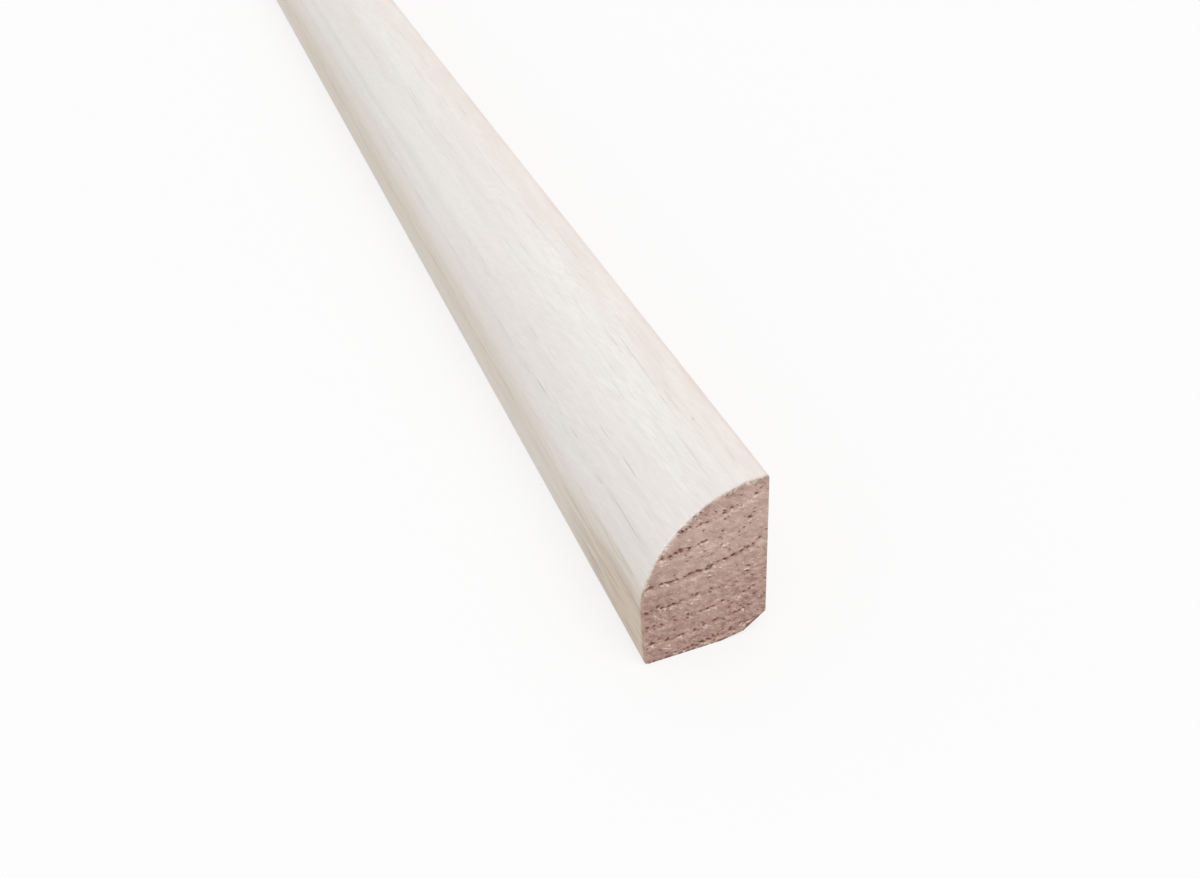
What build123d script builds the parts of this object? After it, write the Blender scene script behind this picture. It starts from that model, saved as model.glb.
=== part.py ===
"""Shoe moulding: one straight length of solid red oak floor trim, 1/2 in deep and 3/4 in high.

It covers the joint between a floor and the wall or baseboard behind it. The front is an upright
toe with a quarter-round nose above it, and the back stands flat against the wall. The bottom rear
corner is planed away in two flats, so that the trim seats tight where the floor meets the wall.

X runs along the stock, Y from the toe to the wall, and Z up from the floor. The origin is on the
floor, halfway along the stock and halfway between the toe and the back. Sizes are in millimetres.
"""

import os

from build123d import *

# Stock
LENGTH = 1981.2  # 78 in, the length that finished hardwood trim is sold in

# Front: the round nose runs from the top of the toe to a narrow level land at the back
NOSE_RADIUS = 12.0
TOE_HEIGHT = 7.05
TOP_LAND = 0.7

# Relief at the bottom rear corner: a shallow flat, then a steep one up to the back
SHALLOW_FLAT_RUN = 2.3
SHALLOW_FLAT_RISE = 0.42
STEEP_FLAT_RUN = 2.35
STEEP_FLAT_RISE = 1.84

# Arrises eased by sanding
TOE_ARRIS = 0.35  # where the toe meets the bottom
TOP_ARRIS = 0.25  # where the top land meets the back

# The whole section, 12.7 by 19.05 mm at these sizes
DEPTH = NOSE_RADIUS + TOP_LAND
HEIGHT = TOE_HEIGHT + NOSE_RADIUS
TOE_FACE = -DEPTH / 2
BACK_FACE = DEPTH / 2


def front():
    """The nose, tangent to the top land and to the toe, then the toe down to the floor."""
    nose_centre = (BACK_FACE - TOP_LAND, TOE_HEIGHT)
    nose = CenterArc(nose_centre, NOSE_RADIUS, start_angle=90, arc_size=90)
    toe = Line(nose @ 1, (TOE_FACE, 0))
    return [nose, toe]


def underside():
    """The bottom face, which stands on the floor, then the two flats of the relief."""
    bottom_end = (BACK_FACE - STEEP_FLAT_RUN - SHALLOW_FLAT_RUN, 0)
    knee = (BACK_FACE - STEEP_FLAT_RUN, SHALLOW_FLAT_RISE)
    relief_top = (BACK_FACE, SHALLOW_FLAT_RISE + STEEP_FLAT_RISE)
    bottom = Line((TOE_FACE, 0), bottom_end)
    shallow_flat = Line(bottom_end, knee)
    steep_flat = Line(knee, relief_top)
    return [bottom, shallow_flat, steep_flat]


def wall_side(relief_top, nose_top):
    """The back face, then the level land between it and the nose."""
    back = Line(relief_top, (BACK_FACE, HEIGHT))
    top_land = Line(back @ 1, nose_top)
    return [back, top_land]


def ease(face, corner, radius):
    """The face with its corner nearest to the given point rounded."""
    return fillet(face.vertices().sort_by_distance(corner)[0], radius)


def section():
    """The moulding's cross-section, with the toe at the left and the back at the right."""
    front_edges = front()
    underside_edges = underside()
    wall_edges = wall_side(underside_edges[-1] @ 1, front_edges[0] @ 0)
    face = make_face(front_edges + underside_edges + wall_edges)
    face = ease(face, (TOE_FACE, 0), TOE_ARRIS)
    return ease(face, (BACK_FACE, HEIGHT), TOP_ARRIS)


def shoe_moulding():
    """The section run along X, cut square at both ends."""
    far_end = Plane.YZ.offset(-LENGTH / 2)
    return extrude(far_end * section(), amount=LENGTH)


def main():
    os.makedirs("parts", exist_ok=True)
    export_step(shoe_moulding(), "parts/shoe_moulding.step")


main()
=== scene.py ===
"""A length of whitewashed red oak shoe moulding, dressed round its CAD solid, and a plain studio.

The moulding is one closed mesh. Its skin is the section swept along the stock, with the pores that
the moulder's knives cut open as fine grooves. Its two ends are sawn faces, with the vessels of each
growth ring as torn pits. Growth rings are circles about a pith line that wanders beside the stock,
and both the grooves and the pits lie in those rings, so the rows on the end run on along the nose.

Lengths are in metres, in the frame of the CAD part: X along the stock, Y from the toe to the wall
side, Z up from the floor. Girth is the distance round the section from the foot of the toe, up the
toe, over the nose and down the back. Reach is the distance from the near end, which is at +X.
"""

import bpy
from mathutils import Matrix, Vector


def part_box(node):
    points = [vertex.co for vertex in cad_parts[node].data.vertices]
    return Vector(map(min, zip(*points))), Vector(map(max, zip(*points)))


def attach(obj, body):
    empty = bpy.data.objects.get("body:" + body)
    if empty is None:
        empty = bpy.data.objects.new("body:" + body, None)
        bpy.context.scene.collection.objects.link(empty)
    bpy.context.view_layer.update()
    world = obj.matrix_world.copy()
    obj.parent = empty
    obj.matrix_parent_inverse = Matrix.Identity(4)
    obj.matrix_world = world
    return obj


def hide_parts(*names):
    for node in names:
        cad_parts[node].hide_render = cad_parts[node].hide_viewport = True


bl_info = {
    "name": "Whitewashed Shoe Moulding",
    "version": (1, 0, 0),
    "blender": (4, 5, 0),
    "location": "3D View > Sidebar > Moulding",
    "description": "Builds a length of whitewashed red oak shoe moulding and a plain studio round it",
    "category": "Add Mesh",
}

import math

import bpy
import numpy as np
from bpy.props import FloatProperty, FloatVectorProperty, IntProperty, PointerProperty
from bpy.types import Operator, Panel, PropertyGroup
from mathutils import Matrix, Vector, noise
from mathutils.geometry import delaunay_2d_cdt

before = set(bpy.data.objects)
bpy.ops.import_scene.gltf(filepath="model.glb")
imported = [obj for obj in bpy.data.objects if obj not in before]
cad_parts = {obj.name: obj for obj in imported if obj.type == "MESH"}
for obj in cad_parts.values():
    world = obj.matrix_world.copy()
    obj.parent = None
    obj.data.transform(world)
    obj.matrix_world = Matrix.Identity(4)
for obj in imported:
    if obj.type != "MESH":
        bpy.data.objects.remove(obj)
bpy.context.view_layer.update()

SOLID = "shoe_moulding"
BODY = "root"
MM = 0.001

LOW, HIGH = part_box(SOLID)
LENGTH = HIGH.x - LOW.x


def linear(colour):
    """An sRGB hex colour such as #F0EBE4 as linear red, green and blue."""
    channels = [int(colour[i : i + 2], 16) / 255 for i in (1, 3, 5)]
    return tuple(c / 12.92 if c <= 0.04045 else ((c + 0.055) / 1.055) ** 2.4 for c in channels)


def distance(name, description, millimetres):
    return FloatProperty(
        name=name, description=description, default=millimetres * MM, min=0.0, precision=5, unit="LENGTH"
    )


def share(name, description, default):
    return FloatProperty(
        name=name, description=description, default=default, min=0.0, max=1.0, subtype="FACTOR"
    )


def colour(name, description, default):
    return FloatVectorProperty(
        name=name, description=description, default=linear(default), size=3, min=0.0, max=1.0, subtype="COLOR"
    )


class MouldingSection(PropertyGroup):
    """The section. Its depth and height come from the CAD box"""

    nose_radius: distance("Nose radius", "Radius of the round nose above the toe", 12.0)
    shallow_run: distance("Shallow flat run", "Depth of the shallow flat under the rear corner", 2.3)
    shallow_rise: distance("Shallow flat rise", "Height of the shallow flat under the rear corner", 0.42)
    steep_run: distance("Steep flat run", "Depth of the steep flat under the rear corner", 2.35)
    steep_rise: distance("Steep flat rise", "Height of the steep flat under the rear corner", 1.84)
    toe_arris: distance("Toe arris", "Radius of the sanded edge between the toe and the bottom", 0.35)
    top_arris: distance("Top arris", "Radius of the sanded edge between the top and the back", 0.25)


class MouldingGrain(PropertyGroup):
    """The wood's growth rings and vessels"""

    seed: IntProperty(name="Seed", description="Number that picks where pores and tears lie", default=7)
    pith_y: FloatProperty(
        name="Pith Y", description="Place of the pith across the stock at the near end",
        default=-5.5 * MM, precision=5, unit="LENGTH",
    )
    pith_z: distance("Pith Z", "Height of the pith at the near end", 40.8)
    wander_y: distance("Pith wander across", "How far the pith strays sideways along the stock", 3.0)
    wander_z: distance("Pith wander up", "How far the pith strays up and down along the stock", 1.5)
    wander_length: distance("Wander length", "Length of one stray of the pith", 900.0)
    groove_width: distance("Groove width", "Width of a pore that the moulder's knives cut open", 0.16)
    groove_depth: distance("Groove depth", "Depth of such a pore", 0.035)
    pit_depth: distance("Pit depth", "Depth of a vessel torn open by the saw", 0.3)
    groove_count: IntProperty(
        name="Grooves", description="How many open pores the long faces have", default=1400, min=1
    )


class MouldingFinish(PropertyGroup):
    """The colours and cover of the wood and its wash"""

    wash: colour("Wash", "The white wash at its lightest", "#FAF8F5")
    wash_deep: colour("Deep wash", "The white wash over the darker bands of grain", "#E1DDD4")
    wash_warm: colour("Warm wash", "The wash where pink wood tints it", "#E6DAD1")
    # Mixed in on the toe both as a thin yellow wash and as painted shade where the toe turns from the light
    thin_wash_and_shade: colour("Thin wash", "The wash where it lies thin and yellow, on the toe", "#D9CAB1")
    wash_cover: share("Wash cover", "How much of the wood the wash hides", 0.96)
    latewood: colour("Latewood", "Planed red oak between the pore rows", "#CBAA98")
    earlywood: colour("Earlywood", "Planed red oak in the pore rows", "#A68371")
    open_pore: colour("Open pore", "The inside of a pore on a long face", "#84705F")
    sawn: colour("Sawn end", "Sawn end grain where it is cut clean", "#D0B3A5")
    sawn_dark: colour("Sawn end, dark", "Sawn end grain where the saw has crushed it", "#927368")
    sawn_red: colour("Sawn end, red", "The redder wood in the rows of vessels", "#9A6256")
    # Torn vessels are dark in their own colour and darker still as painted shade in their hollows; the
    # underside's rim takes this painted shade too
    sawn_pit_and_shade: colour("Sawn pit", "The inside of a torn vessel", "#62443B")
    # Paler than the wood: raised fibre ends, and painted highlight where they catch the light
    pale_fibre_and_highlight: colour("Torn fibre", "Fibre ends lifted by the saw", "#E6D2C4")


class MouldingStage(PropertyGroup):
    """The camera and the studio"""

    floor: colour("Floor", "The pale floor and backdrop", "#F8F8F8")
    key_strength: FloatProperty(
        name="Key light", description="Strength of the broad lamp from the upper right", default=1.3, min=0.0
    )
    fill_strength: FloatProperty(
        name="Fill light", description="Strength of the even light from all sides", default=0.7, min=0.0
    )
    white_share: share("White floor", "Share of the floor that the camera sees as plain white", 0.7)


SETTINGS = {
    "moulding_section": MouldingSection,
    "moulding_grain": MouldingGrain,
    "moulding_finish": MouldingFinish,
    "moulding_stage": MouldingStage,
}


# The section

LEAST_CREASE = math.radians(5)  # corners of the section that turn more than this stay sharp


class Flat:
    """A straight stretch of the section between two corners (y, z)."""

    def __init__(self, start, end):
        self.start, self.end = np.array(start), np.array(end)
        self.length = float(np.hypot(*(self.end - self.start)))
        self.fewest = 1

    def place(self, along):
        return self.start + np.multiply.outer(along / self.length, self.end - self.start)

    def facing(self, along):
        y, z = (self.end - self.start) / self.length
        return np.broadcast_to((-z, y), (len(along), 2))


class Round:
    """A quarter turn of the section about a centre (y, z), clockwise from an angle in degrees."""

    def __init__(self, centre, radius, start):
        self.centre, self.radius, self.start = np.array(centre), radius, math.radians(start)
        self.length = radius * math.pi / 2
        self.fewest = 3

    def facing(self, along):
        angle = self.start - along / self.radius
        return np.stack([np.cos(angle), np.sin(angle)], -1)

    def place(self, along):
        return self.centre + self.radius * self.facing(along)


class Outline:
    """The whole section as stretches laid end to end, read by girth."""

    def __init__(self, section):
        toe, back, bottom, top = LOW.y, HIGH.y, LOW.z, HIGH.z
        nose = (toe + section.nose_radius, top - section.nose_radius)
        toe_foot = (toe, bottom + section.toe_arris)
        toe_sole = (toe + section.toe_arris, bottom)
        land_end = (back - section.top_arris, top)
        back_top = (back, top - section.top_arris)
        knee = (back - section.steep_run, bottom + section.shallow_rise)
        relief_top = (back, knee[1] + section.steep_rise)
        relief_start = (knee[0] - section.shallow_run, bottom)
        self.stretches = {
            "toe arris": Round((toe_sole[0], toe_foot[1]), section.toe_arris, 270),
            "toe": Flat(toe_foot, (toe, nose[1])),
            "nose": Round(nose, section.nose_radius, 180),
            "land": Flat((nose[0], top), land_end),
            "top arris": Round((land_end[0], back_top[1]), section.top_arris, 90),
            "back": Flat(back_top, relief_top),
            "steep flat": Flat(relief_top, knee),
            "shallow flat": Flat(knee, relief_start),
            "bottom": Flat(relief_start, toe_sole),
        }
        self.corners = np.cumsum([0.0] + [s.length for s in self.stretches.values()])
        self.girth = float(self.corners[-1])
        before = np.stack([s.facing(np.array([s.length]))[0] for s in self.stretches.values()])
        after = np.stack([s.facing(np.array([0.0]))[0] for s in self.stretches.values()])
        turn = np.einsum("ij,ij->i", before[:-1], after[1:])
        self.creases = self.corners[1:-1][turn < math.cos(LEAST_CREASE)]

    def start_of(self, name):
        return float(self.corners[list(self.stretches).index(name)])

    def end_of(self, name):
        return self.start_of(name) + self.stretches[name].length

    def read(self, girth):
        """Where the section is at each girth, and which way it faces, as rows of (y, z)."""
        girth = np.asarray(girth, float)
        which = np.clip(np.searchsorted(self.corners, girth, "right") - 1, 0, len(self.stretches) - 1)
        place, facing = np.empty((len(girth), 2)), np.empty((len(girth), 2))
        for number, stretch in enumerate(self.stretches.values()):
            here = which == number
            along = girth[here] - self.corners[number]
            place[here], facing[here] = stretch.place(along), stretch.facing(along)
        return place, facing

    def divide(self, spacing):
        """Girths about that far apart, with every corner among them, from 0 to the whole girth."""
        steps = [np.array([0.0])]
        for start, stretch in zip(self.corners, self.stretches.values()):
            count = max(stretch.fewest, math.ceil(stretch.length / spacing))
            steps.append(start + stretch.length * np.arange(1, count + 1) / count)
        return np.concatenate(steps)


# Growth rings

# Each ring that the near end shows: its radius from the pith, and the stretches of it where the saw
# has torn the vessels open, as (from Y, to Y, how torn), in mm
RINGS = {
    23.3: ((4.0, 5.2, 0.3),),
    25.8: (
        (-2.9, -1.3, 0.75), (-0.7, -0.3, 0.55), (0.2, 0.5, 0.5), (1.3, 2.1, 0.7), (2.6, 2.9, 0.5),
        (4.7, 5.3, 0.5),
    ),
    28.0: ((-4.3, -2.3, 0.65), (-1.9, -1.5, 0.8), (-1.0, 0.5, 0.5), (1.5, 2.2, 0.6), (4.3, 5.0, 0.75)),
    31.2: ((-6.2, -5.2, 1.0), (-4.7, -2.6, 1.0), (-2.1, -0.6, 1.0), (-0.5, 3.0, 0.8), (3.4, 5.9, 0.6)),
    34.1: ((-6.2, -2.2, 0.7), (-1.8, -0.4, 0.6), (0.4, 0.9, 0.75), (4.1, 4.7, 0.55)),
    36.3: (
        (-6.1, -4.3, 0.4), (-3.4, -2.9, 0.5), (-2.2, -1.5, 0.75), (-0.6, 1.1, 0.65), (1.6, 2.2, 0.6),
        (3.9, 5.4, 0.4),
    ),
    38.4: (
        (-5.9, -5.1, 0.75), (-4.5, -3.9, 0.75), (-3.1, -2.2, 0.75), (-1.4, -0.9, 0.75), (-0.3, 0.3, 0.5),
        (0.9, 1.5, 0.7), (3.0, 4.8, 0.5),
    ),
    40.5: ((-3.2, -1.0, 0.5), (-1.0, 1.8, 0.65), (2.5, 5.0, 0.45)),
}
# Stretches where the saw has raised a pale nap, painted pale in part as highlight, as (radius from the pith,
# from Y, to Y, how thick)
NAP = (
    (26.2, 3.2, 5.2, 0.8),
    (29.0, -0.9, 0.8, 1.0),
    (29.6, 1.6, 2.7, 0.8),
    (28.9, -4.6, -3.6, 0.5),
    (32.0, -2.4, 2.2, 0.45),
    (33.6, 3.4, 4.6, 0.6),
    (34.7, -1.5, -0.8, 0.8),
    (35.0, -5.6, -4.6, 0.4),
    (37.0, 2.6, 3.7, 0.7),
    (39.4, -4.6, -3.6, 0.9),
)
RING_WIDTH = 2.5  # of the rings beyond those, in mm
RINGS_BEYOND = 6
EARLYWOOD = 0.28  # share of a ring that holds the large vessels


def ring_radii():
    """Radii of all the rings, in metres, from the innermost."""
    seen = list(RINGS)
    inner = [seen[0] - RING_WIDTH * n for n in range(RINGS_BEYOND, 0, -1)]
    outer = [seen[-1] + RING_WIDTH * n for n in range(1, RINGS_BEYOND + 1)]
    return np.array(inner + seen + outer) * MM


def pith_at(reach, grain):
    """(y, z) of the pith at each reach from the near end."""
    turn = 2 * math.pi * np.asarray(reach) / grain.wander_length
    sway = np.sin(turn) + 0.35 * np.sin(2.6 * turn)
    return grain.pith_y - grain.wander_y * sway, grain.pith_z - grain.wander_z * sway


def ring_number(reach, y, z, grain):
    """Counts growth rings outward from the pith; the whole numbers are where rings begin."""
    pith_y, pith_z = pith_at(reach, grain)
    radii = ring_radii()
    return np.interp(np.hypot(y - pith_y, z - pith_z), radii, np.arange(len(radii)))


def smooth(value, low, high):
    """0 below low, 1 above high and a smooth rise between."""
    t = np.clip((np.asarray(value) - low) / (high - low), 0, 1)
    return t * t * (3 - 2 * t)


def waves(places, size, seed):
    """Smooth noise from about -1 to 1 at each (y, z), with lumps of about that size."""
    shift = Vector((seed * 17.3, seed * 5.1, seed * 9.7))
    return np.array([noise.noise(Vector((y / size, z / size, 0)) + shift) for y, z in places])


# The mesh as it is gathered

MAP_SPLIT = 250 * MM  # reach at which the skin's texture map is cut in two
MAP_GAP = 0.01  # margin round each region of the map
MAP_SKIN_SHARE = 0.66  # the skin's width in the map; the two ends stand beside it
NEAR_END_SHARE, FAR_END_SHARE = 0.31, 0.15  # the ends' widths in the map
SAME_PLACE = 1e-9  # metres within which two points are one
SHARP_ANGLE = math.radians(50)  # faces that meet at more than this have a sharp edge


class MeshData:
    """Vertices with their values, and triangles with their material and map, patch by patch."""

    VALUES = ("ring", "pore", "stain", "fibre", "wash", "toe", "blush", "deep", "shown")

    def __init__(self):
        self.places, self.values, self.faces, self.slots, self.maps = [], [], [], [], []
        self.creases = []
        self.count = 0

    def add(self, places, **values):
        """Adds vertices and returns their numbers. A value that isn't given is 0."""
        self.places.append(places)
        columns = [np.broadcast_to(values.get(name, 0.0), len(places)) for name in self.VALUES]
        self.values.append(np.stack(columns, -1))
        self.count += len(places)
        return np.arange(self.count - len(places), self.count)

    def add_faces(self, faces, map_places, slot, outward):
        """Adds triangles, turned so that most of them face the way outward says at their middles."""
        a, b, c = (np.concatenate(self.places)[faces[:, i]] for i in range(3))
        facing = np.einsum("ij,ij->i", np.cross(b - a, c - a), outward((a + b + c) / 3))
        step = -1 if facing.sum() < 0 else 1
        self.faces.append(faces[:, ::step])
        self.maps.append(map_places[:, ::step])
        self.slots.append(np.broadcast_to(slot, len(faces)))


class Patch:
    """Points laid flat, the vertex that each stands for, and edges that the triangles keep."""

    def __init__(self):
        self.flat, self.vertices, self.edges = [], [], []
        self.count = 0

    def add(self, flat, vertices):
        self.flat.append(flat)
        self.vertices.append(vertices)
        self.count += len(flat)
        return np.arange(self.count - len(flat), self.count)

    def chain(self, points, closed=False):
        self.edges += zip(points[:-1], points[1:])
        if closed:
            self.edges.append((points[-1], points[0]))

    def fill(self, data, squeeze, map_place, slot, outward):
        """Triangulates the points, with their first coordinate shortened squeeze times."""
        flat = np.concatenate(self.flat)
        edges = [(int(a), int(b)) for a, b in self.edges]
        laid = [Vector(p) for p in flat / (squeeze, 1)]
        _, _, triangles, origins, *_ = delaunay_2d_cdt(laid, edges, [], 1, SAME_PLACE)
        if not all(origins):
            raise RuntimeError("two edges of a patch cross")
        points = np.array([o[0] for o in origins])[np.array(triangles)]
        data.add_faces(np.concatenate(self.vertices)[points], map_place(flat[points]), slot, outward)


# Open pores on the long faces

# Pores that the photograph shows plainly: start and end reach, girth, in mm, and how dark they are
PLAIN_PORES = (
    (29.6, 33.7, 12.6, 0.65),
    (34.5, 38.0, 12.2, 0.35),
    (20.2, 22.9, 13.1, 0.4),
    (24.5, 27.5, 13.0, 0.25),
    (3.3, 12.4, 13.0, 0.45),
    (12.6, 14.8, 12.7, 0.35),
    (15.5, 19.3, 16.2, 0.3),
    (8.4, 13.8, 16.4, 0.5),
    (2.2, 6.8, 9.35, 0.5),
    (4.6, 10.6, 9.0, 0.5),
    (8.2, 13.4, 9.3, 0.6),
    (11.0, 15.5, 8.95, 0.45),
    (14.5, 19.0, 9.25, 0.3),
    (18.3, 30.0, 23.1, 0.3),
    (23.3, 34.0, 22.4, 0.25),
    (11.7, 17.7, 23.5, 0.25),
    (10.4, 11.3, 24.1, 0.7),
    (31.0, 36.0, 16.0, 0.25),
    (36.0, 41.0, 15.6, 0.3),
    (4.0, 15.5, 6.4, 0.6),
    (13.3, 22.9, 7.0, 0.4),
    (4.8, 14.4, 3.3, 0.5),
    (1.3, 9.0, 9.65, 0.6),
    (2.5, 9.5, 5.9, 0.55),
    (6.0, 16.2, 5.55, 0.5),
    (2.2, 11.5, 2.9, 0.45),
    (7.5, 16.5, 3.7, 0.4),
    (10.5, 16.8, 2.4, 0.4),
)
PORE_LENGTH = (2.0, 14.0)  # in mm, from short to long
COLLAR = 0.7  # width of the level rim round a groove, as a share of the groove's own
END_MARGIN = 1.0 * MM  # no groove comes nearer to an end than this
CLEARANCE = 0.05 * MM  # between a groove and the plain points beside it
TIP_GAP = 0.5 * MM  # between the tip of a groove and the next points along the stock
LATEWOOD_PORES = 0.04  # share of the pores that fall between the rings' pore rows and are kept


class Groove:
    """A pore cut open along the stock: reaches, girth, half its width and how dark it is."""

    # Its two rows of points across, as shares of the length and how deep, and the points of a row, as
    # shares of half the width and how deep
    ROWS = ((0.22, 1.0), (0.62, 0.9))
    ACROSS = ((-1 - COLLAR, 0.0), (-1.0, 0.12), (0.0, 1.0), (1.0, 0.12), (1 + COLLAR, 0.0))

    def __init__(self, start, end, girth, half_width, strength):
        self.start, self.end, self.girth = start, end, girth
        self.half_width, self.strength = half_width, strength
        self.reach_out = half_width * (1 + COLLAR)

    def meets(self, other):
        apart = max(self.start - other.end, other.start - self.end)
        return apart < TIP_GAP and abs(self.girth - other.girth) < self.reach_out + other.reach_out

    def points(self):
        """(reach, girth, how deep) of its two tips and then of each row."""
        found = [(self.start, self.girth, 0.0), (self.end, self.girth, 0.0)]
        for along, part in self.ROWS:
            reach = self.start + along * (self.end - self.start)
            found += [(reach, self.girth + off * self.half_width, deep * part) for off, deep in self.ACROSS]
        return found

    def edges(self, first):
        """The lines of its bottom and sides, from tip to tip, where its points start at first."""
        start, end, row, last = first, first + 1, first + 2, first + 2 + len(self.ACROSS)
        return [line for n in (1, 2, 3) for line in ((start, row + n), (row + n, last + n), (last + n, end))]


def room_for(groove, outline):
    """Whether a groove stays clear of the ends, the corners of the section and the map's cut."""
    clear = np.abs(outline.corners - groove.girth).min() > groove.reach_out + 2 * CLEARANCE
    inside = END_MARGIN < groove.start and groove.end < LENGTH - END_MARGIN
    return clear and inside and not groove.start - MM < MAP_SPLIT < groove.end + MM


def open_pores(outline, grain, rng):
    """The grooves of the long faces: the plain ones first, then seeded ones in the rings' earlywood."""
    half = grain.groove_width / 2
    grooves = [Groove(a * MM, b * MM, g * MM, half, dark) for a, b, g, dark in PLAIN_PORES]
    rows = {}
    for groove in grooves:
        rows.setdefault(int(groove.girth / MM), []).append(groove)
    while len(grooves) < grain.groove_count:
        reach, girth = rng.uniform(0, LENGTH), rng.uniform(0, outline.girth)
        length = PORE_LENGTH[0] + (PORE_LENGTH[1] - PORE_LENGTH[0]) * rng.random() ** 2
        size, strength, luck = rng.uniform(0.5, 1.0), rng.uniform(0.05, 0.3), rng.random()
        (y, z), = outline.read([girth])[0]
        phase = float(ring_number(reach, y, z, grain)) % 1
        if luck > (1.0 if phase < EARLYWOOD else LATEWOOD_PORES):
            continue
        groove = Groove(reach, reach + length * MM, girth, half * size, strength)
        row = int(girth / MM)
        others = [g for n in (row - 1, row, row + 1) for g in rows.get(n, [])]
        if room_for(groove, outline) and not any(groove.meets(g) for g in others):
            grooves.append(groove)
            rows.setdefault(row, []).append(groove)
    return grooves


# Sawn ends

NEAR_EDGE, FAR_EDGE = 0.12 * MM, 0.3 * MM  # spacing of the two ends' edges
NEAR_GRID, FAR_GRID = 0.075 * MM, 0.16 * MM  # finest spacing of points on the two ends
BLOCK = 4000  # places that are worked out at once
DENSE_ROUND = 2.2  # how far round a pit or fibre the points stay that close, as a share of its size
PIT_SPACING, TORN_CLOSER = 0.68 * MM, 0.2 * MM  # along a row, and how much closer where it is torn
PIT_SHARPNESS, FIBRE_SHARPNESS = 3, 2  # how steeply a pit's and a fibre's edges fall away
STAIN_ROUND = 2.6  # how far round a pit the wood is stained, as a share of its size
PAIRED = 0.35  # share of the vessels that have another close beside them
SCATTERED_PITS, SCATTERED_FIBRES = 150, 330  # how many lie apart from the rows
NAP_FIBRES = 7  # for each mm of a stretch of nap
BARE_WEAR, FILM_WEAR = (0.035, 0.02), (0.1, 0.08)  # mm by which the ends' edges are round, and stray
RIM_SHADE_AND_TEAR = (0.12 * MM, 0.4 * MM)  # over which the worn rim of the underside fades
LEVEL_EDGE = (0.08 * MM, 0.35 * MM)  # over which the dark rim of the underside fades: painted shade by the floor, and wood torn by the saw
INWARD = 60 * MM  # how far inside the stock the point lies from which the bands face outward
TOE_TO_NOSE = (8.0 * MM, 11.0 * MM)  # girths between which the film grows from thin to full
FILM_RUN, TOE_SHORTER = 0.18, 0.45  # mm that it runs over the arris, and less on the toe
FILM_FADE, TOE_FADE = 0.5, 0.85  # mm over which its edge fades, on the nose and on the toe
ARRIS_TURNS = (0, 30, 60)  # degrees at which the rounded arris has its loops of points
COLLARS = (0.9, 0.5, 0.27)  # mm from the end at which the skin has such loops, outermost first
# Where the wash frays out over the end grain: girth, half the width and how much further, in mm
FRAYED = (
    (1.0, 0.8, 0.15),
    (9.6, 0.7, 0.1),
    (14.6, 1.6, 0.12),
    (16.2, 0.6, 0.2),
    (18.5, 2.2, 0.18),
    (22.4, 1.8, 0.02),
    (24.8, 1.8, 0.0),
)
STRANDS = (15.8, 0.9, 9)  # girth and half the width, in mm, and number of loose whitened fibres


def marks_at(y, z, long, wide, slope, strength, rng):
    """Pits or fibres as rows of y, z, half length, half width, slope, and depth or strength.

    Half lengths and half widths, in mm, and strengths are drawn between two limits, and slopes about
    a middle with a spread."""
    count = len(y)
    long = rng.uniform(*long, count) * MM
    wide = rng.uniform(*wide, count) * MM
    slope = rng.normal(*slope, count)
    return np.stack([y, z, long, wide, slope, rng.uniform(*strength, count)], -1)


def torn_vessels(y_from, y_to, radius, torn, grain, rng):
    """Pits along a torn stretch of a ring, longer, wider and deeper where it is badly torn."""
    count = max(1, round((y_to - y_from) * MM / (PIT_SPACING - TORN_CLOSER * torn)))
    y = MM * (y_from + (y_to - y_from) * (np.arange(count) + rng.uniform(0.1, 0.9, count)) / count)
    y = np.concatenate([y, y[rng.random(count) < PAIRED] + 0.12 * MM])
    count = len(y)
    stray = waves([(p, 0.0) for p in y], 1.4 * MM, radius)
    radius = (radius + 0.2 * stray + rng.normal(0, 0.1, count)) * MM
    z = grain.pith_z - np.sqrt(radius ** 2 - (y - grain.pith_y) ** 2)
    long, wide = (0.12, 0.2 + 0.26 * torn ** 3), (0.1, 0.14 + 0.07 * torn)
    pits = marks_at(y, z, long, wide, (-0.1, 0.4), (0.5, 1.0), rng)
    pits[:, 4] += 0.35 * (y - grain.pith_y) / radius
    pits[:, 5] = grain.pit_depth * pits[:, 5] * (0.4 + 0.6 * torn)
    return pits


def lifted_fibres(pits, rng):
    """Fibre ends that the saw has raised on the lower lips of pits, painted pale as highlights where they
    catch the light.
    """
    pits = np.repeat(pits, rng.integers(0, 4, len(pits)), 0)
    count = len(pits)
    y = pits[:, 0] + rng.uniform(-0.2, 0.25, count) * MM
    z = pits[:, 1] - pits[:, 3] - rng.uniform(0.02, 0.08 + 0.3 * rng.random(count) ** 2, count) * MM
    fibres = marks_at(y, z, (0.08, 0.3), (0.05, 0.12), (-0.25, 0.35), (0.25, 1.0), rng)
    fibres[:, 4] += pits[:, 4]
    return fibres


def raised_nap(grain, mirror, rng):
    """Fibres of the pale nap."""
    found = []
    for radius, start, end, thick in NAP:
        count = round((end - start) * NAP_FIBRES * thick)
        y = mirror * rng.uniform(start, end, count) * MM
        out = (radius + rng.normal(0, 0.17, count)) * MM
        z = grain.pith_z - np.sqrt(out ** 2 - (y - grain.pith_y) ** 2)
        found.append(marks_at(y, z, (0.1, 0.32), (0.05, 0.11), (-0.3, 0.35), (0.4, 1.0), rng))
    return np.concatenate(found)


def scattered(count, most, rng):
    """Small pits or fibres that lie apart from the rows, most of them low and to the rear."""
    y = LOW.y + (HIGH.y - LOW.y) * rng.random(count) ** 0.65
    z = LOW.z + (HIGH.z - LOW.z) * rng.random(count) ** 1.4
    found = marks_at(y, z, (0.07, 0.24), (0.04, 0.1), (-0.15, 0.5), (0.2, 0.8), rng)
    found[:, 5] *= most
    return found


def in_blocks(function, places):
    """function over the places in blocks, so that large tables stay small in memory."""
    return np.concatenate([function(places[i : i + BLOCK]) for i in range(0, len(places), BLOCK)])


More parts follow.
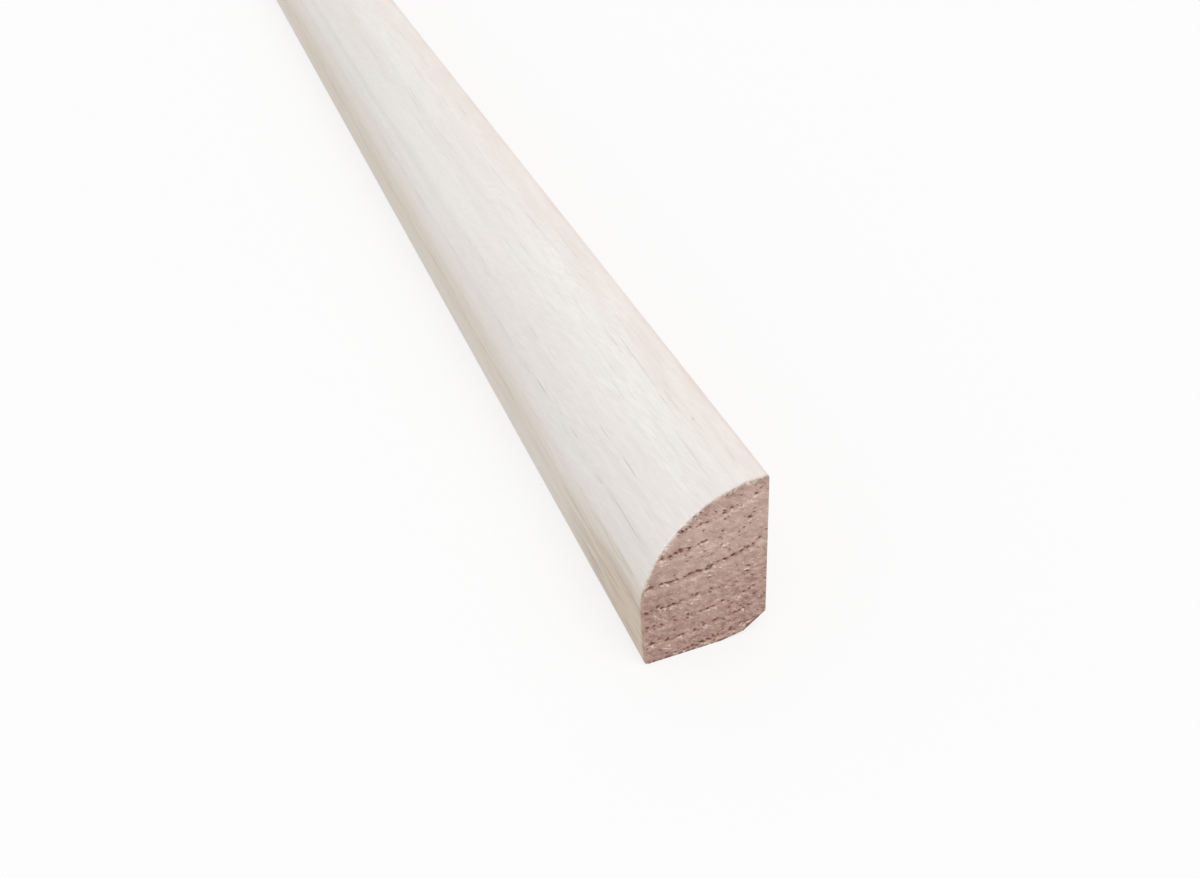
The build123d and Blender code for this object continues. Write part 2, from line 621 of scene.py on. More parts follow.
def mark_reach(places, marks):
    """For each place and mark, the distance from its middle as a share of its own radius there."""
    y = places[:, :1] - marks[:, 0]
    z = places[:, 1:] - marks[:, 1]
    cos, sin = np.cos(marks[:, 4]), np.sin(marks[:, 4])
    return np.hypot((y * cos + z * sin) / marks[:, 2], (z * cos - y * sin) / marks[:, 3])


def nearest_mark(places, marks):
    """How near each place is to any of the marks: below 1 inside one."""
    return in_blocks(lambda p: mark_reach(p, marks).min(1), places)


def strongest_mark(places, marks, sharpness):
    """How strong the marks are at each place. The sharper they are, the steeper are their edges."""
    return in_blocks(lambda p: (marks[:, 5] * np.exp(-(mark_reach(p, marks) ** sharpness))).max(1), places)


def edge_distance(corners, places):
    """How far inside a convex outline each (y, z) lies."""
    sides = np.roll(corners, -1, 0) - corners
    inward = np.stack([sides[:, 1], -sides[:, 0]], -1) / np.hypot(*sides.T)[:, None]
    return in_blocks(lambda p: np.einsum("pci,ci->pc", p[:, None] - corners, inward).min(1), places)


def nearest_of(corners, places):
    """Which corner each (y, z) lies nearest to."""
    return in_blocks(lambda p: np.hypot(*(p[:, None] - corners).transpose(2, 0, 1)).argmin(1), places)


class SawnEnd:
    """One sawn end: the arris worn round, and the face inside it with torn vessels and saw fuzz."""

    def __init__(self, outline, grain, rng, far):
        self.outline, self.grain, self.rng = outline, grain, rng
        self.wall, self.out, self.reach = (LOW.x, -1, LENGTH) if far else (HIGH.x, 1, 0.0)
        self.fine, spacing = (FAR_GRID, FAR_EDGE) if far else (NEAR_GRID, NEAR_EDGE)
        self.seed = 50 if far else 0
        self.girths = outline.divide(spacing)[:-1]
        self.edge = outline.read(self.girths)[0]
        along = np.roll(self.edge, -1, 0) - np.roll(self.edge, 1, 0)
        self.outward = np.stack([-along[:, 1], along[:, 0]], -1) / np.hypot(*along.T)[:, None]
        self.bare = self.girths > outline.end_of("top arris")
        stray = self.noise(self.edge, 0.5 * MM, 1)
        bare, filmed = (mean + most * stray for mean, most in (BARE_WEAR, FILM_WEAR))
        self.wear = np.where(self.bare, bare, filmed) * MM
        self.frayed = np.zeros(len(self.girths))
        self.full = smooth(self.girths, *TOE_TO_NOSE)
        self.soft = (TOE_FADE + (FILM_FADE - TOE_FADE) * self.full) * MM
        self.film = self.film_reach()
        # 1 along the relief and the bottom, where the saw comes out and leaves a torn rim, and where the rim
        # and the arris are darkened as painted shade by the floor
        self.under = 1.0 * (self.girths >= outline.end_of("back") - CLEARANCE)
        self.tear(-1 if far else 1)

    def noise(self, places, size, number):
        return waves(places, size, self.seed + number)

    def film_reach(self):
        """How far the wash runs on over the arris. It is below 0 where the film has broken away."""
        run = 0.1 * self.noise(self.edge, 1.3 * MM, 2) + 0.07 * self.noise(self.edge, 0.22 * MM, 3)
        run = run + FILM_RUN - TOE_SHORTER * (1 - self.full)
        run = run - 0.04 * smooth(self.girths, 22.5 * MM, 23.5 * MM)
        for girth, half_width, further in FRAYED:
            bump = np.exp(-(((self.girths / MM - girth) / half_width) ** 2))
            run = run + further * bump * (0.6 + 0.8 * self.noise(self.edge, 0.3 * MM, 8))
            self.frayed = np.maximum(self.frayed, bump)
        return np.where(self.bare, -1.0, run) * MM

    def tear(self, mirror):
        """Draws the marks of the face. The rows of the far end are those of the near end, mirrored."""
        pits, fibres = [], []
        for radius, stretches in RINGS.items():
            for start, end, torn in stretches:
                span = sorted((start * mirror, end * mirror))
                pits.append(torn_vessels(*span, radius, torn, self.grain, self.rng))
                fibres.append(lifted_fibres(pits[-1], self.rng))
        pits.append(scattered(SCATTERED_PITS, self.grain.pit_depth * 0.7, self.rng))
        fibres.append(scattered(SCATTERED_FIBRES, 0.9, self.rng))
        fibres.append(raised_nap(self.grain, mirror, self.rng))
        self.pits, self.fibres = np.concatenate(pits), np.concatenate(fibres)
        self.loose = self.strands()

    def strands(self):
        """Whitened fibres that stand out level over the end grain where the wash frays most."""
        edge = self.edge[np.abs(self.girths - STRANDS[0] * MM) < STRANDS[1] * MM]
        y, z = edge[self.rng.integers(0, len(edge), STRANDS[2])].T
        count = len(y)
        long = self.rng.uniform(0.2, 0.45, count) * MM
        y = y + 0.7 * long
        z = z - self.rng.uniform(0.0, 0.3, count) * MM
        slope = self.rng.normal(-0.3, 0.08, count)
        wide = self.rng.uniform(0.05, 0.09, count) * MM
        return np.stack([y, z, long, wide, slope, self.rng.uniform(0.6, 0.9, count)], -1)

    def spread(self):
        """Points inside the end: close together round vessels and fibres, wider apart elsewhere."""
        y, z = np.meshgrid(
            np.arange(LOW.y, HIGH.y, self.fine), np.arange(LOW.z, HIGH.z, self.fine * math.sqrt(3) / 2)
        )
        rows, columns = np.indices(y.shape)
        y = y + (rows % 2) * self.fine / 2
        coarse = (rows % 2 == 0) & (columns % 2 == 0)
        places, coarse = np.stack([y.ravel(), z.ravel()], -1), coarse.ravel()
        room = edge_distance(self.edge, places) - self.wear[nearest_of(self.edge, places)]
        inside = room > 0.6 * self.fine
        places, coarse = places[inside], coarse[inside]
        torn = np.concatenate([self.pits, self.fibres, self.loose])
        places = places[coarse | (nearest_mark(places, torn) < DENSE_ROUND)]
        return places + self.rng.normal(0, 0.12 * self.fine, places.shape)

    def marks(self, places):
        """How much of a pit, how deep, how much stain and how much raised fibre each place has."""
        stray = np.stack([self.noise(places, 0.22 * MM, n) for n in (4, 5)], -1)
        moved = places + 0.07 * MM * stray
        nearest = nearest_mark(moved, self.pits)
        pit, stain = np.exp(-(nearest ** PIT_SHARPNESS)), np.exp(-((nearest / STAIN_ROUND) ** 2))
        sink = strongest_mark(moved, self.pits, PIT_SHARPNESS)
        return pit, sink, stain, strongest_mark(moved, self.fibres, FIBRE_SHARPNESS) * (1 - pit)

    def lay(self, data):
        """Adds the end to the mesh and returns the vertices of its loop where the skin begins.

        over is how far each place lies from where the arris begins, along the surface."""
        inset = self.edge - self.outward * self.wear[:, None]
        inner = self.spread()
        places = np.concatenate([inset, inner])
        nearest = nearest_of(self.edge, inner)
        over = np.concatenate([
            self.wear * math.pi / 2,
            (self.wear * (math.pi / 2 - 1))[nearest] + np.hypot(*(inner - self.edge[nearest]).T),
        ])
        beside = np.concatenate([np.arange(len(inset)), nearest])
        film, soft = self.film[beside], self.soft[beside]
        pit, sink, stain, fibre = self.marks(places)
        ragged = 0.7 + 1.1 * self.noise(places, 0.45 * MM, 9)
        under = np.concatenate([self.under, self.under[nearest]])
        from_edge = edge_distance(self.edge, places)
        # The rim along the underside is darkened: painted shade by the floor, and wood torn by the saw
        rim = ragged * under * (1 - smooth(from_edge, *RIM_SHADE_AND_TEAR))
        pit = np.maximum(pit, np.clip(rim, 0, 0.85))
        ring = ring_number(self.reach, *places.T, self.grain)
        rough = 0.05 + 0.05 * self.noise(places, 0.4 * MM, 6) + 0.03 * self.noise(places, 0.13 * MM, 7)
        rough = rough + 0.03 * (1 - smooth(ring % 1, 0.1, 0.35)) - 0.06 * fibre
        level = smooth(from_edge, *LEVEL_EDGE)
        depth = np.clip(rough, 0, None) * MM * (0.35 + 0.65 * level) + sink * level
        numbers = data.add(
            np.column_stack([self.wall - self.out * depth, places]),
            ring=ring, pore=pit, stain=stain, fibre=fibre,
            wash=np.maximum(self.cover(film - over, soft), self.haze(places, film - over, nearest)),
        )
        patch = Patch()
        points = patch.add(places, numbers)
        patch.chain(points[: len(inset)], closed=True)
        facing = np.array([self.out, 0, 0])
        patch.fill(data, 1, self.map_place, 1, lambda middles: np.broadcast_to(facing, middles.shape))
        return self.lay_edge(data, numbers[: len(inset)])

    def cover(self, spare, soft):
        """How much wash lies where the film has that far to go before it ends, softly."""
        return np.clip(0.5 + spare / soft, 0, 1)

    def haze(self, places, spare, nearest):
        """Thin white dust and loose strands on the end grain, where the film frays out over it."""
        frayed = self.frayed[np.concatenate([np.arange(len(self.girths)), nearest])]
        dust = 0.62 * frayed * smooth(spare, -0.9 * MM, 0) * (0.8 + 0.9 * self.noise(places, 0.4 * MM, 10))
        return np.maximum(dust, strongest_mark(places, self.loose, FIBRE_SHARPNESS))

    def lay_edge(self, data, rim):
        """Adds the bands from the skin over the arris to the rim of the face."""
        skin = [(c * MM, 0.0, self.wear - c * MM) for c in COLLARS]
        turned = [
            (self.wear * (1 - math.sin(t)), self.wear * (1 - math.cos(t)), self.wear * t)
            for t in map(math.radians, ARRIS_TURNS)
        ]
        loops = [(self.loop(data, *step), step[2]) for step in skin + turned]
        loops.append((rim, self.wear * math.pi / 2))
        for here, there in zip(loops, loops[1:]):
            self.band(data, *here, *there)
        return loops[0][0]

    def loop(self, data, reach, inset, run):
        """Vertices round the end, that far from it and inside the section. run is how far over the
        arris they lie."""
        places = self.edge - self.outward * np.multiply.outer(inset, (1, 1))
        x = np.broadcast_to(self.wall - self.out * reach, len(places))
        from_near = np.abs(self.reach - reach)
        ragged = np.clip(0.8 + 0.8 * self.noise(self.edge, 0.45 * MM, 9), 0, 1)
        turned = smooth(run, -0.15 * MM, 0.05 * MM)
        cover = self.cover(self.film - run, self.soft)
        # On the underside the arris is dark: painted shade by the floor, and torn wood. Elsewhere it darkens
        # where the film is worn away
        return data.add(
            np.column_stack([x, places]), ring=ring_number(from_near, *places.T, self.grain),
            pore=np.maximum(ragged * self.under, 0.45 * (1 - cover)) * turned,
            wash=cover * wash_cover(self.girths, from_near, self.outline),
            **tones(self.girths, from_near, self.outline),
        )

    def band(self, data, loop, run, next_loop, next_run):
        """Two rows of triangles between neighbouring loops."""
        after, next_after = np.roll(loop, -1), np.roll(next_loop, -1)
        faces = np.concatenate([
            np.stack([loop, after, next_after], -1), np.stack([loop, next_after, next_loop], -1)
        ])
        here, there = (
            self.map_place(self.edge + self.outward * (self.wear * (math.pi / 2 - 1) - r)[:, None])
            for r in (run, next_run)
        )
        ahead, there_ahead = np.roll(here, -1, 0), np.roll(there, -1, 0)
        maps = np.concatenate([
            np.stack([here, ahead, there_ahead], 1), np.stack([here, there_ahead, there], 1)
        ])
        # Seen from well inside, even a band that dips at the rim of the face turns the right way
        middle = np.array([self.wall - self.out * INWARD, (LOW.y + HIGH.y) / 2, (LOW.z + HIGH.z) / 2])
        # The underside's arris takes the end grain's material, whose pit colour gives it its painted shade
        slots = np.tile(1 * ((self.under > 0) & (run > 0)), 2)
        data.add_faces(faces, maps, slots, lambda middles: middles - middle)
        at_crease = np.abs(np.subtract.outer(self.girths, self.outline.creases)).min(1) < CLEARANCE / 5
        data.creases += zip(loop[at_crease], next_loop[at_crease])

    def map_place(self, flat):
        """Where a (y, z) of this end lies in the texture map."""
        share = FAR_END_SHARE if self.out < 0 else NEAR_END_SHARE
        base = MAP_GAP if self.out < 0 else 0.5
        corner = np.array([MAP_SKIN_SHARE + 2 * MAP_GAP, base + MAP_GAP])
        margin = COLLARS[0] * MM
        return corner + (flat - (LOW.y - margin, LOW.z - margin)) * share / (HIGH.y - LOW.y + 2 * margin)


# The skin

STRETCH = 30  # the skin is triangulated with its length shortened this many times
NEAR_STATIONS = (2.0, 5.0)  # mm from each end
STATIONS = 12 * MM  # spacing of the skin's other stations along the stock
COLUMNS = 0.85 * MM  # spacing of the skin's columns round the section
THIN_WASH_LENGTH = 22 * MM  # the toe's wash is thinner over this length at the near end
SWAY_LENGTH = 200 * MM  # length of one rise and fall of the wash's depth


def wash_cover(girth, reach, outline):
    """How much wash each place has: full on the nose, thin on the toe and top arris, none behind."""
    finished, nose = outline.end_of("top arris"), outline.start_of("nose")
    cover = 0.93 + 0.07 * smooth(girth, nose - 1.5 * MM, nose + 3.5 * MM)
    worn = (1 - smooth(girth, nose - 1.0 * MM, nose + 4.0 * MM)) * (1 - smooth(reach, 0, THIN_WASH_LENGTH))
    foot = (1 - smooth(girth, 0, 0.9 * MM)) * (1 - smooth(reach, 0, 2 * THIN_WASH_LENGTH))
    cover = cover - 0.11 * worn - 0.06 * foot
    cover = cover - 0.25 * smooth(girth, finished - 0.7 * MM, finished)
    behind = np.clip(girth - finished, 0, None)
    below = outline.girth - girth
    spilled = 0.5 * (1 - smooth(behind, 0, 1.2 * MM)) + 0.5 * (1 - smooth(below, 0, 1.0 * MM))
    return np.where(girth > finished, spilled, cover)


def tones(girth, reach, outline):
    """How the wash strays from plain white: yellow and thin on the toe and less and less up the nose,
    and darker there too, as painted shade of the side turned from the light, though lighter at the
    foot away from the near end, as painted light thrown up by the floor; pink where the wood tints it
    towards the top; and darker in slow swells along the stock, mostly below the top of the nose. The
    grain shows less away from the near end."""
    nose, top = outline.start_of("nose"), outline.end_of("nose")
    # The toe's tone is both thin wash and painted shade of the side turned from the light; its upper edge
    # rises up the nose away from the near end
    rise = 2.0 * MM * smooth(reach, 8 * MM, 60 * MM)
    toe = 0.62 * (1 - smooth(girth - rise, nose - 4 * MM, nose + 5.5 * MM))
    # Lighter at the foot away from the near end: painted light standing in for light thrown up by the floor
    toe = toe * (1 - 0.45 * (1 - smooth(girth, 0, 5.5 * MM)) * smooth(reach, 10 * MM, 30 * MM))
    steep, tail = 1 - smooth(girth, nose - MM, nose + 4.5 * MM), 1 - smooth(girth, nose, nose + 10 * MM)
    steep = steep * (0.5 + 0.5 * smooth(girth, 2 * MM, 6 * MM))
    toe = toe + (0.2 * steep + 0.22 * tail) * (1 - smooth(reach, 4 * MM, 24 * MM))
    toe = np.clip(toe, 0, 1)
    blush = smooth(girth, top - 4.5 * MM, top)
    near = 0.3 * (1 - smooth(reach, 2 * MM, 14 * MM)) * smooth(girth, 13 * MM, 18 * MM)
    # Darker in slow swells along the stock, less towards the top of the nose
    sway = 0.5 - 0.5 * np.cos(2 * math.pi * np.clip(reach - 45 * MM, 0, None) / SWAY_LENGTH)
    deep = sway * (1 - 0.7 * smooth(girth, 17 * MM, 26 * MM))
    front = girth < outline.end_of("top arris")
    shown = 1 - 0.4 * smooth(reach, 45 * MM, 80 * MM)
    return {"toe": toe * front, "blush": np.maximum(blush, near), "deep": deep, "shown": shown}


def skin_stations():
    inner = np.arange(STATIONS, LENGTH - STATIONS / 2, STATIONS)
    inner = inner[np.abs(inner - MAP_SPLIT) > STATIONS / 3]
    ends = np.array(NEAR_STATIONS) * MM
    return np.sort(np.concatenate([ends, inner, LENGTH - ends, [MAP_SPLIT]]))


def clear_of(grooves, reach, girth):
    """Whether each plain point stays clear of all the grooves."""
    clear = np.ones(reach.shape, bool)
    for g in grooves:
        along = (reach > g.start - TIP_GAP) & (reach < g.end + TIP_GAP)
        clear &= ~(along & (np.abs(girth - g.girth) < g.reach_out + CLEARANCE))
    return clear


class Skin:
    """The long faces, swept along the stock between the loops where the two ends' arrises begin."""

    def __init__(self, data, outline, grain):
        self.data, self.outline, self.grain = data, outline, grain
        self.patch = Patch()
        self.stations, self.columns = skin_stations(), outline.divide(COLUMNS)

    def vertices(self, reach, girth, deep=0.0, dark=0.0):
        place, facing = self.outline.read(girth)
        place = place - facing * np.multiply.outer(deep * self.grain.groove_depth, (1, 1))
        return self.data.add(
            np.column_stack([HIGH.x - reach, place]),
            ring=ring_number(reach, *place.T, self.grain), pore=dark,
            wash=wash_cover(girth, reach, self.outline), **tones(girth, reach, self.outline),
        )

    def lay(self, grooves, near_end, near_loop, far_end, far_loop):
        grid = self.lay_grid(grooves)
        self.lay_grooves(grooves)
        near = self.lay_end(near_end, near_loop)
        far = self.lay_end(far_end, far_loop)
        for corner in self.outline.corners:
            column = int(np.abs(self.columns - corner).argmin())
            ends = [points[int(np.abs(girths - corner).argmin())] for girths, points in (near, far)]
            line = [ends[0], *grid[:, column], ends[1]]
            self.patch.chain(line)
            if corner in self.outline.creases:
                vertices = np.concatenate(self.patch.vertices)[line]
                self.data.creases += zip(vertices[:-1], vertices[1:])
        self.patch.chain(grid[int(np.abs(self.stations - MAP_SPLIT).argmin())])
        axis = np.array([0, (LOW.y + HIGH.y) / 2, (LOW.z + HIGH.z) / 2])
        self.patch.fill(
            self.data, STRETCH, self.map_place, 0, lambda middles: (middles - axis) * (0, 1, 1)
        )

    def lay_grid(self, grooves):
        """The plain points. Girth 0 and the full girth are one column of vertices, laid flat twice."""
        reach, girth = np.meshgrid(self.stations, self.columns, indexing="ij")
        kept = clear_of(grooves, reach, girth)
        vertices = np.full(reach.shape, -1)
        kept_open = kept[:, :-1]
        vertices[:, :-1][kept_open] = self.vertices(reach[:, :-1][kept_open], girth[:, :-1][kept_open])
        vertices[:, -1] = vertices[:, 0]
        grid = np.full(reach.shape, -1)
        grid[kept] = self.patch.add(np.stack([reach[kept], girth[kept]], -1), vertices[kept])
        return grid

    def lay_grooves(self, grooves):
        points = np.array([p for g in grooves for p in g.points()])
        each = len(points) // len(grooves)
        dark = points[:, 2] * np.repeat([g.strength for g in grooves], each)
        vertices = self.vertices(points[:, 0], points[:, 1], points[:, 2], dark)
        flat = self.patch.add(points[:, :2], vertices)
        for number, groove in enumerate(grooves):
            self.patch.edges += groove.edges(int(flat[0]) + number * each)

    def lay_end(self, end, loop):
        girths, vertices = np.append(end.girths, self.outline.girth), np.append(loop, loop[0])
        reach = abs(end.reach - COLLARS[0] * MM)
        points = self.patch.add(np.stack([np.full(len(girths), reach), girths], -1), vertices)
        self.patch.chain(points)
        return girths, points

    def map_place(self, flat):
        """Where each corner of the triangles lies in the map: the near part above, the far below."""
        near = flat[:, :, 0].mean(1, keepdims=True) < MAP_SPLIT
        reach, girth = flat[:, :, 0], flat[:, :, 1]
        along = np.where(near, 1 - reach / MAP_SPLIT, (LENGTH - reach) / (LENGTH - MAP_SPLIT))
        u = MAP_GAP + girth / self.outline.girth * (MAP_SKIN_SHARE - MAP_GAP)
        v = np.where(near, 0.5, 0.0) + MAP_GAP + along * (0.5 - 2 * MAP_GAP)
        return np.stack([u, v], -1)


def build_moulding(section, grain):
    """The whole closed mesh, as gathered data."""
    rng = np.random.default_rng(grain.seed)
    outline, data = Outline(section), MeshData()
    near, far = (SawnEnd(outline, grain, rng, far) for far in (False, True))
    near_loop, far_loop = near.lay(data), far.lay(data)
    Skin(data, outline, grain).lay(open_pores(outline, grain, rng), near, near_loop, far, far_loop)
    return data


def keep_creases(mesh, creases):
    """Marks those edges sharp, beside the edges that are sharp already."""
    def keys(pairs):
        pairs = np.sort(np.asarray(pairs), 1)
        return pairs[:, 0] * len(mesh.vertices) + pairs[:, 1]

    edges = np.empty(2 * len(mesh.edges), np.int32)
    mesh.edges.foreach_get("vertices", edges)
    sharp = np.empty(len(mesh.edges), bool)
    mesh.edges.foreach_get("use_edge_sharp", sharp)
    sharp |= np.isin(keys(edges.reshape(-1, 2).astype(np.int64)), keys(creases))
    mesh.edges.foreach_set("use_edge_sharp", sharp)


def mesh_object(name, data, materials):
    """Makes the object from gathered data, smooth where the surface is."""
    mesh = bpy.data.meshes.new(name)
    mesh.from_pydata(np.concatenate(data.places).tolist(), [], np.concatenate(data.faces).tolist())
    for column, value in zip(np.concatenate(data.values).T, MeshData.VALUES):
        attribute = mesh.attributes.new(value, "FLOAT", "POINT")
        attribute.data.foreach_set("value", column.astype(np.float32))
    laid = mesh.uv_layers.new(name="OFBake")
    laid.uv.foreach_set("vector", np.concatenate(data.maps).astype(np.float32).ravel())
    mesh.polygons.foreach_set("material_index", np.concatenate(data.slots).astype(np.int32))
    for material in materials:
        mesh.materials.append(material)
    if mesh.validate():
        raise RuntimeError("the mesh had faces that are not valid")
    mesh.set_sharp_from_angle(angle=SHARP_ANGLE)
    keep_creases(mesh, data.creases)
    made = bpy.data.objects.new(name, mesh)
    bpy.context.scene.collection.objects.link(made)
    return made


# Materials

SMOOTH = {"interpolation_type": "SMOOTHSTEP"}
COLOURS = {"data_type": "RGBA"}
PLAIN_WHITE = (1.0, 1.0, 1.0, 1.0)


def add_node(tree, kind, inputs=(), **settings):
    """Adds a shader node with its settings. inputs gives its sockets, by name or else in their order,
    a value or the node or socket that feeds them."""
    made = tree.nodes.new("ShaderNode" + kind)
    for name, value in settings.items():
        setattr(made, name, value)
    targets = [socket for socket in made.inputs if socket.enabled]
    if isinstance(inputs, dict):
        targets = [next(socket for socket in targets if socket.name == name) for name in inputs]
        inputs = inputs.values()
    for target, value in zip(targets, inputs):
        if isinstance(value, bpy.types.Node):
            value = next(socket for socket in value.outputs if socket.enabled)
        if isinstance(value, bpy.types.NodeSocket):
            tree.links.new(value, target)
        else:
            target.default_value = value
    return made


def new_material(name, *values):
    """An empty material, its tree, and sockets that read those values from the mesh, by name."""
    material = bpy.data.materials.new(name)
    material.use_nodes = True
    tree = material.node_tree
    tree.nodes.clear()
    mesh = {v: add_node(tree, "Attribute", attribute_name=v).outputs["Fac"] for v in values}
    return material, tree, mesh


def finish_material(tree, inputs):
    surface = add_node(tree, "BsdfPrincipled", inputs)
    add_node(tree, "OutputMaterial", {"Surface": surface})


def pattern(tree, size, slant=0.0, turn=0.0, detail=2.0, roughness=0.5, distortion=0.0):
    """A soft pattern whose marks have that length, width and height in mm, or one size all ways.

    slant is how far the marks stray across the stock for each step along it. turn is how far they
    are turned in the plane of the end, in degrees."""
    length, width, height = size if isinstance(size, tuple) else (size, size, size)
    place = add_node(tree, "TexCoord").outputs["Object"]
    if slant:
        along = add_node(tree, "SeparateXYZ", (place,)).outputs["X"]
        aside = add_node(tree, "Math", (along, -slant), operation="MULTIPLY")
        stray = add_node(tree, "CombineXYZ", {"Y": aside, "Z": aside})
        place = add_node(tree, "VectorMath", (place, stray), operation="ADD")
    if turn:
        angle = {"Vector": place, "Angle": math.radians(-turn)}
        place = add_node(tree, "VectorRotate", angle, rotation_type="X_AXIS")
    scale = (1 / (length * MM), 1 / (width * MM), 1 / (height * MM))
    drawn = add_node(tree, "VectorMath", (place, scale), operation="MULTIPLY")
    settings = {"Scale": 1.0, "Detail": detail, "Roughness": roughness, "Distortion": distortion}
    return add_node(tree, "TexNoise", {"Vector": drawn, **settings}).outputs["Fac"]


def total(tree, *values):
    """The sum of values, held between 0 and 1."""
    found = values[0]
    for value in values[1:]:
        last = value is values[-1]
        found = add_node(tree, "Math", (found, value), operation="ADD", use_clamp=last)
    return found


def paint(value):
    return (*value, 1.0)


def ring_phase(tree, ring, stray):
    """0 where a growth ring begins to 1 where it ends, with a stray added to keep it from being even."""
    number = add_node(tree, "Math", (ring, stray), operation="ADD")
    return add_node(tree, "Math", (number,), operation="FRACT")


def pore_rows(tree, ring):
    """1 in the rows of large pores that begin each growth ring, and 0 between them."""
    stray = pattern(tree, (14, 1.2, 1.2))
    stray = add_node(tree, "MapRange", (stray, 0.2, 0.8, -0.08, 0.08), **SMOOTH)
    phase = ring_phase(tree, ring, stray)
    begins = add_node(tree, "MapRange", (phase, 0.92, 1.0), **SMOOTH)
    ends = add_node(tree, "MapRange", (phase, 0.05, 0.38, 1.0, 0.0), **SMOOTH)
    return add_node(tree, "Math", (begins, ends), operation="MAXIMUM")


def planed_wood(tree, finish, early, fibre):
    """Bare oak, darker in the pore rows and along some of its fibres."""
    rows = add_node(tree, "MapRange", (early, 0.0, 1.0, 0.1, 0.8), **SMOOTH)
    wood = add_node(tree, "Mix", (rows, paint(finish.latewood), paint(finish.earlywood)), **COLOURS)
    lines = add_node(tree, "MapRange", (fibre, 0.35, 0.7, 0.0, 0.35), **SMOOTH)
    return add_node(tree, "Mix", (lines, wood, paint(finish.earlywood)), **COLOURS)


def fine_vessels(tree, early):
    """Vessels too fine to model. They are drawn 0.15 mm wide, about twice their real width."""
    lines = pattern(tree, (11, 0.15, 0.15), detail=1.0)
    lines = add_node(tree, "MapRange", (lines, 0.6, 0.76), **SMOOTH)
    rows = add_node(tree, "MapRange", (early, 0.0, 1.0, 0.25, 1.0), **SMOOTH)
    return add_node(tree, "Math", (lines, rows), operation="MULTIPLY")


def wash_light(tree, mesh, early, fibre, bands):
    """How light the wash is: 0 where it lies over the darkest grain and 1 where it is plain white."""
    mottle = pattern(tree, (3.2, 0.45, 0.45), slant=0.12, detail=3.0, roughness=0.6, distortion=1.2)
    waving = pattern(tree, (5, 0.35, 0.35), slant=0.12, detail=1.0, distortion=1.2)
    flecks = add_node(tree, "MapRange", (waving, 0.54, 0.68, 0.0, 0.26), **SMOOTH)
    flecked = add_node(tree, "MapRange", (pattern(tree, (30, 4, 4)), 0.42, 0.6), **SMOOTH)
    flecks = add_node(tree, "Math", (flecks, flecked), operation="MULTIPLY")
    lines = add_node(tree, "MapRange", (fibre, 0.3, 0.7, -0.09, 0.09), **SMOOTH)
    clouds = add_node(tree, "MapRange", (mottle, 0.3, 0.7, -0.14, 0.14), **SMOOTH)
    marks = add_node(tree, "Math", (lines, clouds), operation="ADD")
    marks = add_node(tree, "Math", (marks, flecks), operation="ADD")
    marks = add_node(tree, "Math", (marks, mesh["shown"]), operation="MULTIPLY")
    bands = add_node(tree, "MapRange", (bands, 0.3, 0.7, 0.6, 0.76), **SMOOTH)
    rows = add_node(tree, "MapRange", (early, 0.0, 1.0, 0.03, -0.05), **SMOOTH)
    # darker where the mesh's deep value is high
    deep = add_node(tree, "Math", (mesh["deep"], -0.34), operation="MULTIPLY")
    return total(tree, marks, bands, rows, deep)


def wash_colour(tree, finish, mesh, light, bands):
    """The wash, tinted pink by the wood towards the top, and thin, yellow and streaked on the toe, where it
    is darkened as painted shade as well.
    """
    wash = add_node(tree, "Mix", (light, paint(finish.wash_deep), paint(finish.wash)), **COLOURS)
    drift = pattern(tree, (60, 6, 6), detail=1.0)
    drift = add_node(tree, "MapRange", (drift, 0.4, 0.64, 0.0, 0.3), **SMOOTH)
    patches = pattern(tree, (10, 1.5, 1.5), detail=3.0)
    patches = add_node(tree, "MapRange", (patches, 0.35, 0.65, 0.6, 1.1), **SMOOTH)
    blush = add_node(tree, "Math", (mesh["blush"], patches), operation="MULTIPLY")
    blush = add_node(tree, "Math", (blush, drift), operation="MAXIMUM")
    blush = add_node(tree, "Math", (blush, 0.66), operation="MULTIPLY")
    wash = add_node(tree, "Mix", (blush, wash, paint(finish.wash_warm)), **COLOURS)
    uneven = add_node(tree, "MapRange", (bands, 0.25, 0.75, 0.8, 1.0), **SMOOTH)
    # thin carries the toe's thin wash together with its painted shade
    thin = add_node(tree, "Math", (mesh["toe"], uneven), operation="MULTIPLY")
    wash = add_node(tree, "Mix", (thin, wash, paint(finish.thin_wash_and_shade)), **COLOURS)
    streaks = pattern(tree, (14, 0.8, 0.8), detail=4.0, roughness=0.65)
    streaks = add_node(tree, "MapRange", (streaks, 0.46, 0.62), **SMOOTH)
    shows = add_node(tree, "MapRange", (mesh["toe"], 0.35, 0.9, 0.0, 0.38), **SMOOTH)
    streaks = add_node(tree, "Math", (streaks, shows), operation="MULTIPLY")
    return add_node(tree, "Mix", (streaks, wash, paint(finish.open_pore)), **COLOURS)


